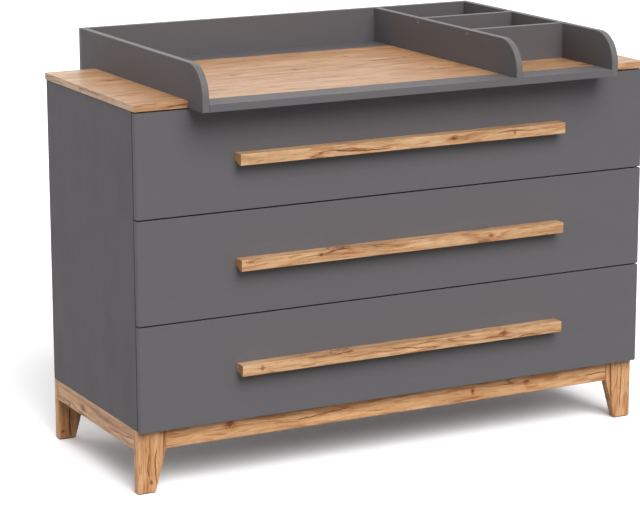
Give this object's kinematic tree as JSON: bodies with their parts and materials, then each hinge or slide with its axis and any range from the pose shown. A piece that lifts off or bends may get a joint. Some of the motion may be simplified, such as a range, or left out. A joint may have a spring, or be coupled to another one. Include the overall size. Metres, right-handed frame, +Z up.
{
  "type": "changing dresser",
  "caption": "Low wide chest of full-width drawers on splayed wooden legs, with a walled changing tray and side compartments on its wooden top.",
  "frame": {"origin": "on the floor, under the middle of the whole piece", "axes": "+Z up, +X to the right along the drawer fronts, drawers open towards -Y"},
  "size_m": [1.305, 0.683, 0.957],
  "materials": {
    "grey_board": "matt graphite melamine with a fine grain",
    "oak_board": "knotty oak decor, matt",
    "drawer_board": "light grey foil, matt",
    "hardboard": "grey lacquered hardboard",
    "pine_block": "raw pine",
    "zinc_steel": "zinc plated",
    "nylon": "natural nylon",
    "felt": "dark felt",
    "cap_plastic": "matt plastic"
  },
  "bodies": {
    "cabinet": {"back_panel": "hardboard", "base_corner_blocks": "pine_block", "base_rail_front": "oak_board", "base_rail_left": "oak_board", "base_rail_rear": "oak_board", "base_rail_right": "oak_board", "bottom_panel": "grey_board", "case_runners_bottom": "zinc_steel", "case_runners_middle": "zinc_steel", "case_runners_top": "zinc_steel", "changing_back_board": "grey_board", "changing_brackets": "zinc_steel", "changing_divider": "grey_board", "changing_front_rail": "grey_board", "changing_left_board": "grey_board", "changing_rear_rail": "grey_board", "changing_right_board": "grey_board", "cross_divider_front": "grey_board", "cross_divider_rear": "grey_board", "foot_glides": "felt", "front_stretcher": "grey_board", "left_side_panel": "grey_board", "leg_front_left": "oak_board", "leg_front_right": "oak_board", "leg_rear_left": "oak_board", "leg_rear_right": "oak_board", "rear_stretcher": "grey_board", "right_side_panel": "grey_board", "screw_caps": "cap_plastic", "top_panel": "oak_board"},
    "drawer_bottom": {"drawer_back_bottom": "drawer_board", "drawer_bottom_bottom": "hardboard", "drawer_front_bottom": "grey_board", "drawer_runners_bottom": "zinc_steel", "drawer_side_bottom_left": "drawer_board", "drawer_side_bottom_right": "drawer_board", "handle_bottom": "oak_board", "handle_screws_bottom": "zinc_steel"},
    "front_rollers_bottom": {"front_rollers_bottom": "nylon"},
    "rear_rollers_bottom": {"rear_rollers_bottom": "nylon"},
    "drawer_middle": {"drawer_back_middle": "drawer_board", "drawer_bottom_middle": "hardboard", "drawer_front_middle": "grey_board", "drawer_runners_middle": "zinc_steel", "drawer_side_middle_left": "drawer_board", "drawer_side_middle_right": "drawer_board", "handle_middle": "oak_board", "handle_screws_middle": "zinc_steel"},
    "front_rollers_middle": {"front_rollers_middle": "nylon"},
    "rear_rollers_middle": {"rear_rollers_middle": "nylon"},
    "drawer_top": {"drawer_back_top": "drawer_board", "drawer_bottom_top": "hardboard", "drawer_front_top": "grey_board", "drawer_runners_top": "zinc_steel", "drawer_side_top_left": "drawer_board", "drawer_side_top_right": "drawer_board", "handle_screws_top": "zinc_steel", "handle_top": "oak_board"},
    "front_rollers_top": {"front_rollers_top": "nylon"},
    "rear_rollers_top": {"rear_rollers_top": "nylon"}
  },
  "joints": [
    {"name": "drawer_bottom_slide", "type": "slide", "parent": "cabinet", "child": "drawer_bottom", "axis": [0, -1, 0], "range_m": [0, 0.34]},
    {"name": "front_rollers_bottom_turn", "type": "hinge", "parent": "cabinet", "child": "front_rollers_bottom", "pos_m": [0, -0.2305, 0.1836], "axis": [1, 0, 0], "continuous": true},
    {"name": "rear_rollers_bottom_turn", "type": "hinge", "parent": "drawer_bottom", "child": "rear_rollers_bottom", "pos_m": [0, 0.1915, 0.1912], "axis": [1, 0, 0], "continuous": true},
    {"name": "drawer_middle_slide", "type": "slide", "parent": "cabinet", "child": "drawer_middle", "axis": [0, -1, 0], "range_m": [0, 0.34]},
    {"name": "front_rollers_middle_turn", "type": "hinge", "parent": "cabinet", "child": "front_rollers_middle", "pos_m": [0, -0.2305, 0.4246], "axis": [1, 0, 0], "continuous": true},
    {"name": "rear_rollers_middle_turn", "type": "hinge", "parent": "drawer_middle", "child": "rear_rollers_middle", "pos_m": [0, 0.1915, 0.4322], "axis": [1, 0, 0], "continuous": true},
    {"name": "drawer_top_slide", "type": "slide", "parent": "cabinet", "child": "drawer_top", "axis": [0, -1, 0], "range_m": [0, 0.34]},
    {"name": "front_rollers_top_turn", "type": "hinge", "parent": "cabinet", "child": "front_rollers_top", "pos_m": [0, -0.2305, 0.6601], "axis": [1, 0, 0], "continuous": true},
    {"name": "rear_rollers_top_turn", "type": "hinge", "parent": "drawer_top", "child": "rear_rollers_top", "pos_m": [0, 0.1915, 0.6677], "axis": [1, 0, 0], "continuous": true}
  ],
  "couplings": [
    {"joint": "front_rollers_bottom_turn", "follows": "drawer_bottom_slide", "rad_per_m": 111.11},
    {"joint": "rear_rollers_bottom_turn", "follows": "drawer_bottom_slide", "rad_per_m": 111.11},
    {"joint": "front_rollers_middle_turn", "follows": "drawer_middle_slide", "rad_per_m": 111.11},
    {"joint": "rear_rollers_middle_turn", "follows": "drawer_middle_slide", "rad_per_m": 111.11},
    {"joint": "front_rollers_top_turn", "follows": "drawer_top_slide", "rad_per_m": 111.11},
    {"joint": "rear_rollers_top_turn", "follows": "drawer_top_slide", "rad_per_m": 111.11}
  ]
}
